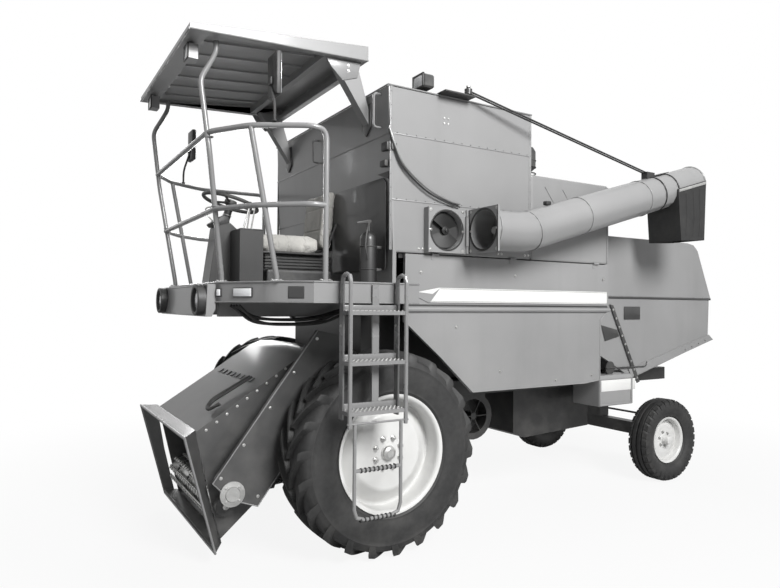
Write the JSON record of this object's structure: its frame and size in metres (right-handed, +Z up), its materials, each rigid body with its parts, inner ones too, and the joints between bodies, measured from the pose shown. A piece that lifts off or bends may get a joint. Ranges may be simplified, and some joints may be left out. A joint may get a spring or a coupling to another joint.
{
  "type": "combine harvester",
  "caption": "Self-propelled combine harvester without its header: grain tank, folding unloading auger, open driver's platform under a roof, swinging feeder house and steered rear axle.",
  "frame": {"origin": "middle of the machine's footprint, on the ground", "axes": "+X forward, towards the feeder house; +Y to the driver's left, where the unloading auger and the ladder are; +Z up"},
  "size_m": [5.34, 2.82, 3.6],
  "materials": {
    "body_paint": "satin",
    "dark_paint": "satin",
    "rim_paint": "satin",
    "tyre_rubber": "matte",
    "worn_steel": "satin",
    "rail_paint": "satin",
    "seat_cloth": "matte",
    "black_plastic": "matte"
  },
  "bodies": {
    "machine": {"separator_body": "dark_paint", "grain_tank": "body_paint", "engine_housing": "body_paint", "engine_block": "worn_steel", "air_cleaner": "black_plastic", "exhaust_pipe": "worn_steel", "hood_upper": "body_paint", "hood_skirt": "body_paint", "front_axle": "dark_paint", "rear_axle": "dark_paint", "battery_box": "body_paint", "fan_housing": "dark_paint", "sieve_box": "dark_paint", "platform": "body_paint", "front_bumper": "body_paint", "seat_base": "black_plastic", "seat_cushion": "seat_cloth", "seat_back": "seat_cloth", "console": "dark_paint", "steering_wheel": "black_plastic", "rails_left": "rail_paint", "rails_right": "rail_paint", "canopy": "body_paint", "canopy_struts": "body_paint", "extinguisher": "body_paint", "work_lamp": "black_plastic", "mirror_left": "black_plastic", "mirror_right": "black_plastic", "ladder": "rail_paint", "ladder_strip": "rail_paint", "auger_outlet": "body_paint", "stay_bracket": "dark_paint"},
    "front_wheel_left": {"front_rim_left": "rim_paint", "front_tyre_left": "tyre_rubber"},
    "front_wheel_right": {"front_rim_right": "rim_paint", "front_tyre_right": "tyre_rubber"},
    "steer_left": {"knuckle_left": "dark_paint"},
    "steer_right": {"knuckle_right": "dark_paint"},
    "rear_wheel_left": {"rear_rim_left": "rim_paint", "rear_tyre_left": "tyre_rubber"},
    "rear_wheel_right": {"rear_rim_right": "rim_paint", "rear_tyre_right": "tyre_rubber"},
    "track_bar": {"tie_rod": "dark_paint"},
    "feeder": {"feeder_house": "body_paint", "feeder_mouth": "body_paint", "feeder_shield": "body_paint"},
    "drum": {"feeder_drum": "worn_steel"},
    "lift_barrels": {"lift_barrel_left": "dark_paint", "lift_barrel_right": "dark_paint"},
    "lift_rods": {"lift_rod_left": "worn_steel", "lift_rod_right": "worn_steel"},
    "unloading_auger": {"auger_tube": "body_paint", "spout_boot": "tyre_rubber", "auger_stays": "dark_paint"},
    "screw": {"auger_screw": "worn_steel"},
    "stirrup": {"ladder_step": "rail_paint"},
    "shield_left": {"side_shield_left": "body_paint"},
    "shield_right": {"side_shield_right": "body_paint"}
  },
  "joints": [
    {"name": "front_wheel_left_spin", "type": "hinge", "parent": "machine", "child": "front_wheel_left", "pos_m": [1.37, 0.95, 0.7], "axis": [0, 1, 0], "continuous": true},
    {"name": "front_wheel_right_spin", "type": "hinge", "parent": "machine", "child": "front_wheel_right", "pos_m": [1.37, -1.11, 0.7], "axis": [0, 1, 0], "continuous": true},
    {"name": "steering_left", "type": "hinge", "parent": "machine", "child": "steer_left", "pos_m": [-2, 0.52, 0.4], "axis": [0, 0, 1], "range_deg": [-35, 35]},
    {"name": "steering_right", "type": "hinge", "parent": "machine", "child": "steer_right", "pos_m": [-2, -0.68, 0.4], "axis": [0, 0, 1], "range_deg": [-35, 35]},
    {"name": "rear_wheel_left_spin", "type": "hinge", "parent": "steer_left", "child": "rear_wheel_left", "pos_m": [-2, 0.76, 0.4], "axis": [0, 1, 0], "continuous": true},
    {"name": "rear_wheel_right_spin", "type": "hinge", "parent": "steer_right", "child": "rear_wheel_right", "pos_m": [-2, -0.92, 0.4], "axis": [0, 1, 0], "continuous": true},
    {"name": "tie_rod_pin", "type": "hinge", "parent": "steer_left", "child": "track_bar", "pos_m": [-2.18, 0.52, 0.58], "axis": [0, 0, 1], "range_deg": [-35, 35]},
    {"name": "feeder_lift", "type": "hinge", "parent": "machine", "child": "feeder", "pos_m": [1.62, -0.08, 1.12], "axis": [0, -1, 0], "range_deg": [0, 30]},
    {"name": "drum_spin", "type": "hinge", "parent": "feeder", "child": "drum", "pos_m": [2.345, -0.08, 0.352], "axis": [0, 1, 0], "continuous": true},
    {"name": "lift_barrel_swing", "type": "hinge", "parent": "machine", "child": "lift_barrels", "pos_m": [1.37, -0.08, 0.46], "axis": [0, -1, 0], "range_deg": [0, 19]},
    {"name": "lift_rod_stroke", "type": "slide", "parent": "lift_barrels", "child": "lift_rods", "axis": [0.9958, 0, -0.0913], "range_m": [0, 0.34]},
    {"name": "auger_swing", "type": "hinge", "parent": "machine", "child": "unloading_auger", "pos_m": [0.7, 1.065, 2.26], "axis": [0, 0, -1], "range_deg": [0, 90]},
    {"name": "screw_spin", "type": "hinge", "parent": "unloading_auger", "child": "screw", "pos_m": [0.7, 1.2475, 2.26], "axis": [1, 0, 0], "continuous": true},
    {"name": "stirrup_hinge", "type": "hinge", "parent": "machine", "child": "stirrup", "pos_m": [1.44, 1.39, 0.985], "axis": [1, 0, 0], "range_deg": [0, 150]},
    {"name": "shield_left_hinge", "type": "hinge", "parent": "machine", "child": "shield_left", "pos_m": [-0.92, 1.0095, 2.083], "axis": [1, 0, 0], "range_deg": [0, 80]},
    {"name": "shield_right_hinge", "type": "hinge", "parent": "machine", "child": "shield_right", "pos_m": [-0.92, -1.1695, 2.083], "axis": [-1, 0, 0], "range_deg": [0, 80]}
  ],
  "couplings": [
    {"joint": "steering_right", "follows": "steering_left", "ratio": 1},
    {"joint": "tie_rod_pin", "follows": "steering_left", "ratio": -1},
    {"joint": "lift_barrel_swing", "follows": "feeder_lift", "ratio": 0.62516},
    {"joint": "lift_rod_stroke", "follows": "feeder_lift", "m_per_rad": 0.6461}
  ]
}
